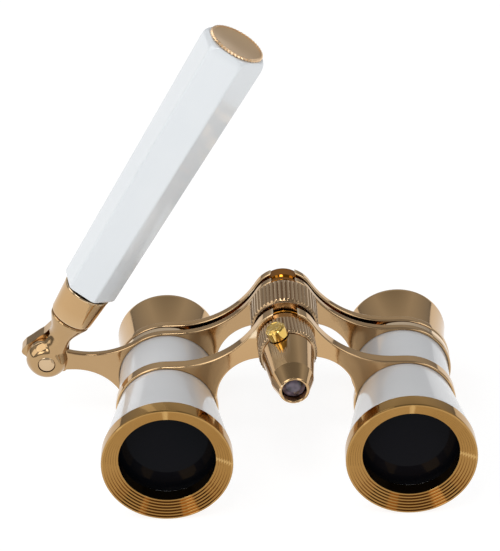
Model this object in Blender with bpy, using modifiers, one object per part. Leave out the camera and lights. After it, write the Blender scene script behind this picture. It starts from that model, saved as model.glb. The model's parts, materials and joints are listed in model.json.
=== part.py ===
"""Opera glasses: a small Galilean binocular with a centre focus wheel, a reading lamp on the focus
axis and a telescopic handle that folds at the left side.

All sizes below are millimetres.  The modelling frame has both optical axes level and parallel to Y:
+X to the right, +Y from the objectives to the eyepieces, +Z up, and y = 0 on the front rims.
The empty "optical_frame" carries the shift that puts the world origin at the bottom centre.
"""
import math

import bmesh
import bpy
from mathutils import Vector

MM = 0.001
GAP = 0.3                    # clearance between solids that touch on the real object

# ---- barrels and optics -------------------------------------------------------------------------
BARREL_X = 31.0              # optical axes at x = -31 and +31: 62 mm between the eyes
ROUND = 36                   # facets of the large round pieces
SMALL_ROUND = 20             # facets of the small round pieces
BEZEL_R, BEZEL_FACE_R, BEZEL_LENGTH = 16.8, 16.26, 4.2
APERTURE_R, FUNNEL_DEPTH = 12.4, 2.33
SKIRT_R, SKIRT_END = 13.7, 6.2
BARREL_START = BEZEL_LENGTH + GAP
BARREL_MOUTH_R, BARREL_SEAT_R, BARREL_R = 16.5, 12.75, 12.6
BARREL_BORE_R, LENS_POCKET_R, LENS_POCKET_END = 11.5, 14.0, 10.6
OBJECTIVE_R, OBJECTIVE_START, OBJECTIVE_END = SKIRT_R, 8.2, 9.7
OBJECTIVE_FRONT_BULGE, OBJECTIVE_REAR_BULGE = 1.6, 0.4
EYE_TUBE_R, EYE_TUBE_WALL = BARREL_BORE_R - GAP, 0.8
EYE_TUBE_START, EYE_TUBE_END = 28.5, 49.3
EYECUP_R, EYECUP_NECK_R, EYECUP_START, EYECUP_END = 13.3, 12.3, 47.3, 60.9
EYECUP_BELLY_R, EYECUP_BELLY_Y, EYECUP_LIP_R = 12.75, 53.0, 12.1
EYE_APERTURE_R, EYE_SEAT_Y, EYE_FUNNEL_Y = 7.4, 53.6, 54.9
EYE_LENS_R, EYE_LENS_START, EYE_LENS_END, EYE_LENS_DISH = 9.2, 51.3, 53.3, 0.6
EYE_RING_START, EYE_RING_END, EYE_RING_BORE = 49.9, 51.0, 7.6

# ---- bridges ------------------------------------------------------------------------------------
FOCUS_Z = 21.1               # height of the focus axis over the optical axes
BOSS_R, BOSS_BORE_R, NOTCH_HALF = 8.3, 6.3, 3.1
COLLAR_R, COLLAR_BORE_R = 13.4, BARREL_R + GAP
SWEEP_X = 28.0               # where the arm's upper edge runs level into the collar
ARCH_R, ARCH_X, ARCH_Z = 11.9, 6.0, 3.6
FRONT_BRIDGE = (24.8, 28.0)
REAR_BRIDGE = (40.9, 42.9)
REAR_COLLAR_END = 44.3       # the rear bridge's collars stand up behind its plate
REAR_COLLAR_STEP = 0.1       # how far a collar's ring stands inside the plate's own edges
EYE_BRIDGE = (44.8, 47.0)

# ---- handle hinge -------------------------------------------------------------------------------
HINGE = (-62.6, 42.6, 6.4)
EAR_R, EAR_TOP, EAR_BOTTOM = 5.4, 7.4, 2.8
EAR_TOP_X, EAR_BOTTOM_X = -50.5, -56.0
EAR_MEET = 0.89              # where the arm's upper arc meets the ear, as a share of its radius
PIN_R = 2.2
HANDLE_ANGLE = 60.3          # degrees above +X, as the glasses stand
BALL_R, BALL_FLAT_R, BALL_EDGE = 5.75, 3.2, -47.0    # the front cheek: a ball with a flat round the pin
FORK_FRONT, FORK_REAR = -4.5, 4.6     # the fork's faces, in front of and behind the handle's axis
SLOT_FRONT, SLOT_REAR = REAR_BRIDGE[0] - GAP - HINGE[1], REAR_BRIDGE[1] + GAP - HINGE[1]
SLOT_END = 7.6
# The rear cheek's right half, across and along the handle: a rounded corner low down, then the side.
SPADE_CORNER, SPADE_CORNER_R, SPADE_BOTTOM = (5.55, -2.1), 1.1, -3.9
SPADE_SIDE = ((6.6, -1.2), (6.4, -0.1), (5.85, 1.1), (4.3, 4.4), (3.75, 5.4), (3.4, 6.6))
# The neck: height along the handle, half width across it and half width along y.
NECK = ((1.0, 3.4, 4.2), (5.0, 3.5, 4.4), (6.6, 3.25, 4.4), (8.4, 3.15, 4.4), (9.9, 3.7, 4.5),
        (11.4, 4.6, 4.8), (12.8, 5.3, 5.3), (13.3, 5.6, 5.6), (13.9, 5.6, 5.6))
FORK_TOP = NECK[-1][0]
SOCKET_R, SOCKET_START = 2.9, 11.2

# ---- telescopic handle, measured along its own axis from the hinge --------------------------------
STEM_R, STEM_END = 3.6, 78.0
COLLAR_START, COLLAR_END = FORK_TOP + GAP, 23.6
SLEEVE_LOW_R, SLEEVE_TOP_R = 5.8, 6.4
GRIP_START, GRIP_END = 24.1, 104.0
GRIP_LOW_R, GRIP_TOP_R, GRIP_BORE_R, GRIP_TURN = 7.6, 9.0, 5.6, -18.5
GRIP_LOW_CHAMFER, GRIP_TOP_CHAMFER = 0.9, 0.4
BUSH_START, BUSH_END = 28.0, 33.0
STOP_LENGTH = 1.9
CAP_R, CAP_END, CAP_PLUG = 7.4, 104.9, 7.0

# ---- focus wheel and lamp -------------------------------------------------------------------------
WHEEL_R, WHEEL_START, WHEEL_END, WHEEL_RIDGES, WHEEL_RIDGE_DEPTH = 8.8, 29.6, 40.3, 36, 0.4
NUT_R, NUT_START, NUT_END = BOSS_BORE_R - GAP, 29.0, 44.4
SCREW_R, SCREW_START = 2.9, 31.0
HUB_START, HUB_END, HUB_CAP, HUB_CHAMFER = 44.7, 51.0, 2.2, 0.8
LAMP_TIP, LAMP_KINK, LAMP_SHOULDER, LAMP_RING_END = 0.8, 5.9, 17.1, 24.5
LAMP_TIP_R, LAMP_KINK_R, LAMP_SHOULDER_R = 3.8, 5.35, 6.7
LAMP_RING_R, LAMP_RIDGES, LAMP_RIDGE_DEPTH, CELL_BORE_R = 7.5, 32, 0.3, 4.3
LAMP_HOLE_R, LAMP_HOLE_END, CELL_BORE_START = 3.1, 7.6, 9.6
LAMP_BASE_WALL = 0.8
LAMP_LENS_START, LAMP_LENS_END, LAMP_LENS_BULGE = 2.9, 4.0, 0.8
LED_R, LED_TIP, LED_BODY, LED_RIM_R, LED_RIM, LED_END = 2.5, 4.4, 6.8, 2.9, 9.8, 10.8
BOARD_START, BOARD_END = 11.6, 12.6
CELLS, CELL_R, CELL_HEIGHT, CELL_START, CELL_EDGE = 3, 3.95, 3.6, 13.6, 0.6
SPRING_WIRE, SPRING_TURNS, SPRING_STEPS, SPRING_R, SPRING_TOP_R = 0.25, 2, 10, 3.2, 2.3
BUTTON_Y, BUTTON_LEAN = 17.0, 22.0       # place along the lamp, and degrees left of the top
BUTTON_R, BUTTON_SEAT, BUTTON_LOW, BUTTON_TOP = 2.6, 5.45, 6.5, 9.8
BUTTON_CROWN_R, BUTTON_STEP_R, BUTTON_CROWN, BUTTON_EDGE = 1.85, 2.05, 0.5, 0.3
BUTTON_STEM_R, BUTTON_STEM_END = 0.9, 5.0
LAMP_YAW = 3.3               # degrees: the lamp leans a little away from the handle

LEAN = math.radians(90 - HANDLE_ANGLE)   # of the handle, from upright towards +X
SPADE_REACH = SPADE_CORNER[0] * math.cos(LEAN) - SPADE_CORNER[1] * math.sin(LEAN) + SPADE_CORNER_R
BASE = (
    (HINGE[0] - SPADE_REACH + BARREL_X + BEZEL_R) / 2,
    EYECUP_END / 2,
    -BEZEL_R,
)

FINISHES = {
    # name: (colour, roughness, metallic)
    "gold": ((0.83, 0.58, 0.33), 0.14, 1.0),
    "bright_brass": ((0.86, 0.62, 0.22), 0.18, 1.0),
    "white_lacquer": ((0.86, 0.87, 0.88), 0.12, 0.0),
    "black_anodised": ((0.015, 0.015, 0.017), 0.45, 0.0),
    "objective_glass": ((0.03, 0.03, 0.05), 0.02, 0.0),
    "eye_glass": ((0.2, 0.22, 0.24), 0.02, 0.0),
    "led_epoxy": ((0.32, 0.27, 0.36), 0.05, 0.0),
    "steel": ((0.6, 0.6, 0.62), 0.3, 1.0),
    "board": ((0.05, 0.2, 0.09), 0.5, 0.0),
    "nylon": ((0.12, 0.12, 0.12), 0.5, 0.0),
}


# ---- scene, materials and small helpers -----------------------------------------------------------
def clear_scene():
    for obj in list(bpy.data.objects):
        bpy.data.objects.remove(obj, do_unlink=True)


def new_collection(name):
    collection = bpy.data.collections.new(name)
    bpy.context.scene.collection.children.link(collection)
    return collection


def make_materials():
    made = {}
    for name, (colour, roughness, metallic) in FINISHES.items():
        mat = bpy.data.materials.new(name)
        mat.use_nodes = True
        shader = mat.node_tree.nodes["Principled BSDF"]
        shader.inputs["Base Color"].default_value = (*colour, 1.0)
        shader.inputs["Roughness"].default_value = roughness
        shader.inputs["Metallic"].default_value = metallic
        made[name] = mat
    return made


clear_scene()
PARTS = new_collection("opera_glasses")
CUTTERS = new_collection("cutters")
MATERIALS = make_materials()
ALONG_Y = (math.radians(-90), 0, 0)      # turns a piece's own Z to world +Y
UPRIGHT = (math.radians(90), 0, 0)       # stands a flat outline up, its own Y to world +Z


def scaled(point):
    return Vector(point) * MM


def empty(name, parent, location, rotation=(0, 0, 0)):
    obj = bpy.data.objects.new(name, None)
    obj.parent = parent
    obj.location = scaled(location)
    obj.rotation_euler = rotation
    PARTS.objects.link(obj)
    return obj


def add(name, data, finish, parent, location=(0, 0, 0), rotation=(0, 0, 0), collection=None):
    """Link a piece, give it its finish and put it in place."""
    obj = bpy.data.objects.new(name, data)
    (collection or PARTS).objects.link(obj)
    if finish and not data.materials:
        data.materials.append(MATERIALS[finish])
    obj.parent = parent
    obj.location = scaled(location)
    obj.rotation_euler = rotation
    return obj


def arc(centre, radius, start, end, count):
    """Points on a circle from the start angle to the end angle, in degrees."""
    points = []
    for i in range(count + 1):
        angle = math.radians(start + (end - start) * i / count)
        points.append((centre[0] + radius * math.cos(angle), centre[1] + radius * math.sin(angle)))
    return points


def angle_from(centre, point):
    return math.degrees(math.atan2(point[1] - centre[1], point[0] - centre[0]))


def sweep_radius(run, rise, radius):
    """Radius of the arc that touches a level line and a circle.

    The arc's centre is `run` to the side of the circle's centre, and the line is `rise` above it."""
    return (run * run + rise * rise - radius * radius) / (2 * (radius - rise))


def turned_mesh(name, profile, segments):
    """A turned shape: (radius, height) points around Z, as a Screw modifier's own mesh."""
    area = sum(a[0] * b[1] - b[0] * a[1] for a, b in zip(profile, profile[1:] + profile[:1]))
    points = profile[::-1] if area > 0 else profile
    edges = [(i, i + 1) for i in range(len(points) - 1)]
    if min(point[0] for point in points) > 0:
        edges.append((len(points) - 1, 0))
    mesh = bpy.data.meshes.new(name)
    mesh.from_pydata([scaled((r, 0, z)) for r, z in points], edges, [])
    obj = bpy.data.objects.new(name, mesh)
    PARTS.objects.link(obj)
    screw = obj.modifiers.new("turn", "SCREW")
    screw.axis = "Z"
    screw.steps = screw.render_steps = segments
    screw.use_merge_vertices = True
    screw.merge_threshold = 0.000005
    result = bpy.data.meshes.new_from_object(obj.evaluated_get(bpy.context.evaluated_depsgraph_get()))
    result.name = name
    bpy.data.objects.remove(obj)
    result.shade_smooth()
    result.set_sharp_from_angle(angle=math.radians(35))
    return result


def turned(name, profile, finish, parent, location=(0, 0, 0), rotation=ALONG_Y, segments=ROUND):
    return add(name, turned_mesh(name, profile, segments), finish, parent, location, rotation)


def flat_mesh(name, outlines, thickness):
    """A flat plate: closed outlines, the first one outside and the others holes."""
    curve = bpy.data.curves.new(name, "CURVE")
    curve.dimensions = "2D"
    curve.fill_mode = "BOTH"
    curve.extrude = thickness * MM / 2
    for outline in outlines:
        spline = curve.splines.new("POLY")
        spline.points.add(len(outline) - 1)
        for point, (x, y) in zip(spline.points, outline):
            point.co = (x * MM, y * MM, 0, 1)
        spline.use_cyclic_u = True
    obj = bpy.data.objects.new(name, curve)
    PARTS.objects.link(obj)
    mesh = bpy.data.meshes.new_from_object(obj.evaluated_get(bpy.context.evaluated_depsgraph_get()))
    bpy.data.objects.remove(obj)
    weld(mesh)
    mesh.name = name
    return mesh


def weld(mesh):
    work = bmesh.new()
    work.from_mesh(mesh)
    bmesh.ops.remove_doubles(work, verts=work.verts, dist=0.000005)
    bmesh.ops.recalc_face_normals(work, faces=work.faces)
    work.to_mesh(mesh)
    work.free()


def plate(name, outlines, start, end, finish, parent):
    """A flat plate that stands across Y, from y = start to y = end."""
    mesh = flat_mesh(name, outlines, end - start)
    return add(name, mesh, finish, parent, (0, (start + end) / 2, 0), UPRIGHT)


def cutter(name, mesh, parent, location=(0, 0, 0), rotation=(0, 0, 0)):
    obj = add(name, mesh, None, parent, location, rotation, CUTTERS)
    obj.hide_render = True
    obj.display_type = "WIRE"
    return obj


def combine(obj, other, operation):
    boolean = obj.modifiers.new(other.name, "BOOLEAN")
    boolean.operation = operation
    boolean.solver = "EXACT"
    boolean.object = other


def box_mesh(name, low, high):
    mesh = bpy.data.meshes.new(name)
    work = bmesh.new()
    bmesh.ops.create_cube(work, size=1.0)
    low, high = scaled(low), scaled(high)
    for vert in work.verts:
        vert.co = Vector([low[i] + (vert.co[i] + 0.5) * (high[i] - low[i]) for i in range(3)])
    work.to_mesh(mesh)
    work.free()
    return mesh


def ring_loft(name, rings):
    """A closed skin through rings of equal point counts, from the lowest ring to the highest."""
    mesh = bpy.data.meshes.new(name)
    work = bmesh.new()
    loops = [[work.verts.new(scaled(point)) for point in ring] for ring in rings]
    count = len(loops[0])
    for lower, upper in zip(loops, loops[1:]):
        for i in range(count):
            work.faces.new((lower[i], lower[(i + 1) % count], upper[(i + 1) % count], upper[i]))
    work.faces.new(loops[0][::-1])
    work.faces.new(loops[-1])
    work.to_mesh(mesh)
    work.free()
    return mesh


def ellipse_ring(half_x, half_y, z, count):
    ring = []
    for i in range(count):
        angle = 2 * math.pi * i / count
        ring.append((half_x * math.cos(angle), half_y * math.sin(angle), z))
    return ring


# ---- bridges --------------------------------------------------------------------------------------
def bridge_side():
    """Right half of a bridge: notch lip, boss, arm, collar, arch and the boss's underside."""
    boss = (0, FOCUS_Z)
    radius = sweep_radius(SWEEP_X, COLLAR_R - FOCUS_Z, BOSS_R)
    sweep = (SWEEP_X, COLLAR_R + radius)
    touch = angle_from(boss, sweep)
    lip = math.degrees(math.acos(NOTCH_HALF / BOSS_R))
    arch_join = 180 - math.degrees(math.asin(ARCH_Z / COLLAR_R))
    arch_top = (ARCH_X, ARCH_Z + ARCH_R)
    points = arc(boss, BOSS_R, lip, touch, 4)
    points += arc(sweep, radius, touch + 180, 270, 9)[1:]
    points += arc((BARREL_X, 0), COLLAR_R, 90, arch_join - 360, 26)
    points += arc((ARCH_X, ARCH_Z), ARCH_R, 0, 90, 8)[1:]
    points += arc(boss, BOSS_R, angle_from(boss, arch_top), -90, 4)[1:]
    return points


def ear_outline():
    """The left collar's outline with the hinge ear, from the collar's top to the arch."""
    collar = (-BARREL_X, 0)
    top_radius = sweep_radius(-BARREL_X - EAR_TOP_X, EAR_TOP, COLLAR_R)
    top_centre = (EAR_TOP_X, EAR_TOP + top_radius)
    low_radius = sweep_radius(-BARREL_X - EAR_BOTTOM_X, -EAR_BOTTOM, COLLAR_R)
    low_centre = (EAR_BOTTOM_X, EAR_BOTTOM - low_radius)
    eye = (HINGE[0], HINGE[2])
    # The arm's upper arc runs on until it meets the ear's disc.
    meet_x = eye[0] + EAR_R * EAR_MEET
    meet = (meet_x, top_centre[1] - math.sqrt(top_radius ** 2 - (meet_x - top_centre[0]) ** 2))
    low_meet = (eye[0] + math.sqrt(EAR_R ** 2 - (eye[1] - EAR_BOTTOM) ** 2), EAR_BOTTOM)
    points = arc(collar, COLLAR_R, 90, angle_from(collar, top_centre), 4)
    points += arc(top_centre, top_radius, angle_from(top_centre, collar), angle_from(top_centre, meet), 6)[1:]
    points += arc(eye, EAR_R, angle_from(eye, meet), 360 + angle_from(eye, low_meet), 16)[1:]
    low_end = angle_from(low_centre, collar)
    points += arc(low_centre, low_radius, 90, low_end, 5)
    arch_join = math.degrees(math.asin(ARCH_Z / COLLAR_R))
    points += arc(collar, COLLAR_R, angle_from(collar, low_centre) + 360, arch_join + 360, 14)[1:]
    return points


def bridge_outline(with_ear):
    side = bridge_side()
    left = [(-x, z) for x, z in side]
    if with_ear:
        top = min(range(len(left)), key=lambda i: abs(left[i][0] + BARREL_X) + abs(left[i][1] - COLLAR_R))
        joins = [i for i, p in enumerate(left) if abs(p[1] - ARCH_Z) < 0.01 and p[0] > -BARREL_X]
        left = left[:top] + ear_outline() + left[joins[0] + 1:]
    lip_bore = math.degrees(math.acos(NOTCH_HALF / BOSS_BORE_R))
    bore = arc((0, FOCUS_Z), BOSS_BORE_R, 180 - lip_bore, 360 + lip_bore, 24)
    return side + left[::-1][1:] + bore


def make_bridges(root, eyepiece):
    bores = [arc((side * BARREL_X, 0), COLLAR_BORE_R, 0, 360, ROUND)[:-1] for side in (-1, 1)]
    tube_bores = [arc((side * BARREL_X, 0), BARREL_BORE_R, 0, 360, ROUND)[:-1] for side in (-1, 1)]
    pin_hole = arc((HINGE[0], HINGE[2]), PIN_R + GAP, 0, 360, SMALL_ROUND)[:-1]
    plate("front_bridge", [bridge_outline(False)] + bores, *FRONT_BRIDGE, "gold", root)
    rear = plate("rear_bridge", [bridge_outline(True)] + bores + [pin_hole], *REAR_BRIDGE, "gold", root)
    outer, inner = COLLAR_R - REAR_COLLAR_STEP, COLLAR_BORE_R + REAR_COLLAR_STEP
    rooted = sum(REAR_BRIDGE) / 2
    ring = turned_mesh("rear_collar", [
        (outer, rooted), (outer, REAR_COLLAR_END), (inner, REAR_COLLAR_END), (inner, rooted),
    ], ROUND)
    for side in (-1, 1):
        combine(rear, cutter("rear_collar", ring, root, (side * BARREL_X, 0, 0), ALONG_Y), "UNION")
    plate("eyepiece_bridge", [bridge_outline(False)] + tube_bores, *EYE_BRIDGE, "gold", eyepiece)


# ---- optics ---------------------------------------------------------------------------------------
def barrel_profile():
    seat = FRONT_BRIDGE[0] - GAP
    outer = [(BARREL_MOUTH_R, BARREL_START), (BARREL_SEAT_R, seat), (BARREL_R, seat + GAP / 2),
             (BARREL_R, REAR_COLLAR_END)]
    inner = [(BARREL_BORE_R, REAR_COLLAR_END), (BARREL_BORE_R, LENS_POCKET_END)]
    inner += [(LENS_POCKET_R, LENS_POCKET_END - 0.6), (LENS_POCKET_R, BARREL_START)]
    return outer + inner


def bezel_profile():
    return [
        (BEZEL_FACE_R, 0), (BEZEL_R, 0.5), (BEZEL_R, BEZEL_LENGTH - 0.3), (BEZEL_R - 0.3, BEZEL_LENGTH),
        (SKIRT_R, BEZEL_LENGTH), (SKIRT_R, SKIRT_END), (APERTURE_R, SKIRT_END),
        (APERTURE_R, FUNNEL_DEPTH), (BEZEL_FACE_R - 0.5, 0),
    ]


def lens_profile(radius, start, end, front_bulge, rear_bulge, steps=3):
    """A lens: flat edge band, and faces that bulge (or dish, when negative) towards each side."""
    front = []
    rear = []
    for i in range(steps + 1):
        t = i / steps
        front.append((radius * t, start - front_bulge * (1 - t * t)))
        rear.append((radius * (1 - t), end + rear_bulge * (1 - (1 - t) ** 2)))
    return front + rear


def eyecup_profile():
    shoulder = EYE_TUBE_END + GAP
    return [
        (EYECUP_NECK_R, EYECUP_START), (EYECUP_BELLY_R, EYECUP_BELLY_Y), (EYECUP_R, EYECUP_END - 1.3),
        (EYECUP_R, EYECUP_END - 0.6), (EYECUP_R - 0.4, EYECUP_END), (EYECUP_LIP_R, EYECUP_END),
        (EYE_APERTURE_R, EYE_FUNNEL_Y), (EYE_APERTURE_R, EYE_SEAT_Y), (EYE_LENS_R + GAP, EYE_SEAT_Y),
        (EYE_LENS_R + GAP, shoulder), (BARREL_BORE_R, shoulder), (BARREL_BORE_R, EYECUP_START),
    ]


def make_optics(root, eyepiece):
    eye_ring = [
        (EYE_LENS_R, EYE_RING_END), (EYE_LENS_R, EYE_RING_START),
        (EYE_RING_BORE, EYE_RING_START), (EYE_RING_BORE, EYE_RING_END),
    ]
    tube = [
        (EYE_TUBE_R, EYE_TUBE_START), (EYE_TUBE_R, EYE_TUBE_END),
        (EYE_TUBE_R - EYE_TUBE_WALL, EYE_TUBE_END), (EYE_TUBE_R - EYE_TUBE_WALL, EYE_TUBE_START),
    ]
    objective = lens_profile(OBJECTIVE_R, OBJECTIVE_START, OBJECTIVE_END, OBJECTIVE_FRONT_BULGE,
                             OBJECTIVE_REAR_BULGE)
    eye_lens = lens_profile(EYE_LENS_R, EYE_LENS_START, EYE_LENS_END, -EYE_LENS_DISH, -EYE_LENS_DISH)
    pieces = (
        # name, profile, finish, parent, facets
        ("barrel", barrel_profile(), "white_lacquer", root, ROUND),
        ("objective_bezel", bezel_profile(), "gold", root, ROUND),
        ("objective_lens", objective, "objective_glass", root, 28),
        ("eyepiece_tube", tube, "black_anodised", eyepiece, ROUND),
        ("eyecup", eyecup_profile(), "gold", eyepiece, ROUND),
        ("eye_lens", eye_lens, "eye_glass", eyepiece, 24),
        ("eye_lens_ring", eye_ring, "black_anodised", eyepiece, 24),
    )
    for label, profile, finish, parent, facets in pieces:
        mesh = turned_mesh(label, profile, facets)
        for side, x in (("left", -BARREL_X), ("right", BARREL_X)):
            add(f"{side}_{label}", mesh, finish, parent, (x, 0, 0), ALONG_Y)


# ---- focus mechanism ------------------------------------------------------------------------------
def ridged_outline(radius, depth, ridges):
    """A round outline with straight ridges: two points at the crest and two at the root of each."""
    points = []
    for i in range(ridges):
        for share, r in ((0.0, radius), (0.3, radius), (0.5, radius - depth), (0.8, radius - depth)):
            angle = 2 * math.pi * (i + share - 0.15) / ridges
            points.append((r * math.sin(angle), r * math.cos(angle)))
    return points


def ridged_ring(name, radius, depth, ridges, bore, start, end, parent):
    outlines = [ridged_outline(radius, depth, ridges), arc((0, 0), bore, 0, 360, SMALL_ROUND + 4)[:-1]]
    mesh = flat_mesh(name, outlines, end - start)
    return add(name, mesh, "gold", parent, (0, (start + end) / 2, 0), UPRIGHT)


def make_focus(wheel, eyepiece_axis):
    ridged_ring("focus_wheel", WHEEL_R, WHEEL_RIDGE_DEPTH, WHEEL_RIDGES, NUT_R + GAP, WHEEL_START,
                WHEEL_END, wheel)
    bore = SCREW_R + GAP
    nut = [(NUT_R, NUT_START), (NUT_R, NUT_END), (bore, NUT_END), (bore, NUT_START)]
    turned("focus_nut", nut, "bright_brass", wheel, segments=24)
    hub = [
        (0, HUB_END), (NUT_R - HUB_CHAMFER, HUB_END), (NUT_R, HUB_END - HUB_CHAMFER), (NUT_R, HUB_START),
        (bore, HUB_START), (bore, HUB_END - HUB_CAP), (0, HUB_END - HUB_CAP),
    ]
    turned("focus_hub", hub, "bright_brass", eyepiece_axis, segments=24)
    screw_end = HUB_END - HUB_CAP - GAP
    screw = [(0, SCREW_START), (SCREW_R, SCREW_START), (SCREW_R, screw_end), (0, screw_end)]
    turned("focus_screw", screw, "steel", eyepiece_axis, segments=SMALL_ROUND)


# ---- lamp -----------------------------------------------------------------------------------------
def make_lamp(axis, button_seat):
    nose = turned("lamp_nose", [
        (LAMP_TIP_R, LAMP_TIP), (LAMP_KINK_R, LAMP_KINK), (LAMP_SHOULDER_R, LAMP_SHOULDER),
        (CELL_BORE_R, LAMP_SHOULDER), (CELL_BORE_R, CELL_BORE_START), (LAMP_HOLE_R, LAMP_HOLE_END),
        (LAMP_HOLE_R, LAMP_TIP),
    ], "gold", axis, segments=28)
    ring = ridged_ring("lamp_battery_ring", LAMP_RING_R, LAMP_RIDGE_DEPTH, LAMP_RIDGES, CELL_BORE_R,
                       LAMP_SHOULDER + GAP, LAMP_RING_END - GAP, axis)
    seat_r, hole_r = BUTTON_R + GAP, BUTTON_STEM_R + GAP
    seat = turned_mesh("button_seat", [(0, BUTTON_SEAT), (seat_r, BUTTON_SEAT), (seat_r, 12), (0, 12)], 24)
    hole = turned_mesh("button_hole", [(0, 3), (hole_r, 3), (hole_r, 6), (0, 6)], 16)
    seat_cut = cutter("button_seat_cutter", seat, button_seat)
    hole_cut = cutter("button_hole_cutter", hole, button_seat)
    for shell in (nose, ring):
        combine(shell, seat_cut, "DIFFERENCE")
        combine(shell, hole_cut, "DIFFERENCE")
    end = FRONT_BRIDGE[1] + GAP
    floor = end - LAMP_BASE_WALL
    turned("lamp_base", [
        (0, end), (NUT_R, end), (NUT_R, LAMP_RING_END), (CELL_BORE_R, LAMP_RING_END),
        (CELL_BORE_R, floor), (0, floor),
    ], "gold", axis, segments=24)
    lens = lens_profile(LAMP_HOLE_R - GAP, LAMP_LENS_START, LAMP_LENS_END, LAMP_LENS_BULGE, 0)
    turned("lamp_lens", lens, "led_epoxy", axis, segments=16)
    dome = [(LED_R * math.sin(math.radians(a)), LED_BODY - (LED_BODY - LED_TIP) * math.cos(math.radians(a)))
            for a in (0, 30, 60, 90)]
    turned("lamp_led", dome + [(LED_R, LED_RIM), (LED_RIM_R, LED_RIM), (LED_RIM_R, LED_END), (0, LED_END)],
           "led_epoxy", axis, segments=16)
    board = [(0, BOARD_START), (CELL_R, BOARD_START), (CELL_R, BOARD_END), (0, BOARD_END)]
    turned("lamp_contact_plate", board, "board", axis, segments=SMALL_ROUND)
    for i in range(CELLS):
        start = CELL_START + i * (CELL_HEIGHT + GAP)
        turned(f"lamp_cell_{i + 1}", [
            (0, start), (CELL_R - CELL_EDGE, start), (CELL_R, start + CELL_EDGE),
            (CELL_R, start + CELL_HEIGHT), (0, start + CELL_HEIGHT)], "steel", axis, segments=SMALL_ROUND)
    make_battery_spring(axis, CELL_START + CELLS * (CELL_HEIGHT + GAP), floor - GAP)


def make_battery_spring(axis, start, end):
    curve = bpy.data.curves.new("lamp_battery_spring", "CURVE")
    curve.dimensions = "3D"
    curve.bevel_depth = SPRING_WIRE * MM
    curve.bevel_resolution = 2
    curve.use_fill_caps = True
    spline = curve.splines.new("POLY")
    count = SPRING_TURNS * SPRING_STEPS
    spline.points.add(count)
    for i, point in enumerate(spline.points):
        angle = 2 * math.pi * i / SPRING_STEPS
        radius = SPRING_R + (SPRING_TOP_R - SPRING_R) * i / count
        height = start + SPRING_WIRE + (end - start - 2 * SPRING_WIRE) * i / count
        x, y = radius * math.cos(angle), radius * math.sin(angle)
        point.co = (x * MM, height * MM, y * MM, 1)
    add("lamp_battery_spring", curve, "steel", axis)


def make_button(seat):
    turned("lamp_button", [
        (0, BUTTON_TOP), (BUTTON_CROWN_R, BUTTON_TOP), (BUTTON_STEP_R, BUTTON_TOP - BUTTON_CROWN),
        (BUTTON_R, BUTTON_TOP - BUTTON_CROWN - BUTTON_EDGE), (BUTTON_R, BUTTON_LOW),
        (BUTTON_STEM_R, BUTTON_LOW),
        (BUTTON_STEM_R, BUTTON_STEM_END), (0, BUTTON_STEM_END),
    ], "bright_brass", seat, rotation=(0, 0, 0), segments=24)


# ---- handle ---------------------------------------------------------------------------------------
def spade_outline():
    """The rear cheek: narrow at the neck, widest low down, with a nearly flat bottom edge."""
    corner = arc(SPADE_CORNER, SPADE_CORNER_R, 285, 370, 5)
    right = corner + list(SPADE_SIDE)
    end_x, end_y = corner[0]
    bottom = [(end_x * t, SPADE_BOTTOM + (end_y - SPADE_BOTTOM) * t * t) for t in (-0.6, -0.2, 0.2, 0.6)]
    return right + [(-x, y) for x, y in right[::-1]] + bottom


def make_fork(hinge):
    ball = [(0, FORK_FRONT), (BALL_FLAT_R, FORK_FRONT)]
    ball += arc((0, 0), BALL_R, BALL_EDGE, 0, 5) + [(BALL_R, 0.5), (0, 0.5)]
    knuckle = turned("handle_fork", ball, "gold", hinge, segments=28)
    rings = [ellipse_ring(half_x, half_y, z, SMALL_ROUND) for z, half_x, half_y in NECK]
    neck = cutter("fork_neck", ring_loft("fork_neck", rings), hinge)
    spade_mesh = flat_mesh("fork_spade", [spade_outline()], FORK_REAR)
    spade = cutter("fork_spade", spade_mesh, hinge, (0, FORK_REAR / 2, 0), UPRIGHT)
    slot_mesh = box_mesh("fork_slot", (-9, SLOT_FRONT, -9), (9, SLOT_REAR, SLOT_END))
    slot = cutter("fork_slot", slot_mesh, hinge)
    pin = [(0, -9), (PIN_R + GAP, -9), (PIN_R + GAP, 9), (0, 9)]
    pin_hole = cutter("fork_pin_hole", turned_mesh("fork_pin_hole", pin, SMALL_ROUND), hinge,
                      rotation=ALONG_Y)
    socket = [(0, SOCKET_START), (SOCKET_R, SOCKET_START), (SOCKET_R, 16), (0, 16)]
    socket_cut = cutter("fork_socket", turned_mesh("fork_socket", socket, SMALL_ROUND), hinge)
    for piece in (neck, spade):
        combine(knuckle, piece, "UNION")
    for cut in (slot, pin_hole, socket_cut):
        combine(knuckle, cut, "DIFFERENCE")


def hex_ring(radius, z):
    points = []
    for i in range(6):
        angle = math.radians(GRIP_TURN + 60 * i)
        points.append((radius * math.cos(angle), radius * math.sin(angle), z))
    return points


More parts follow.
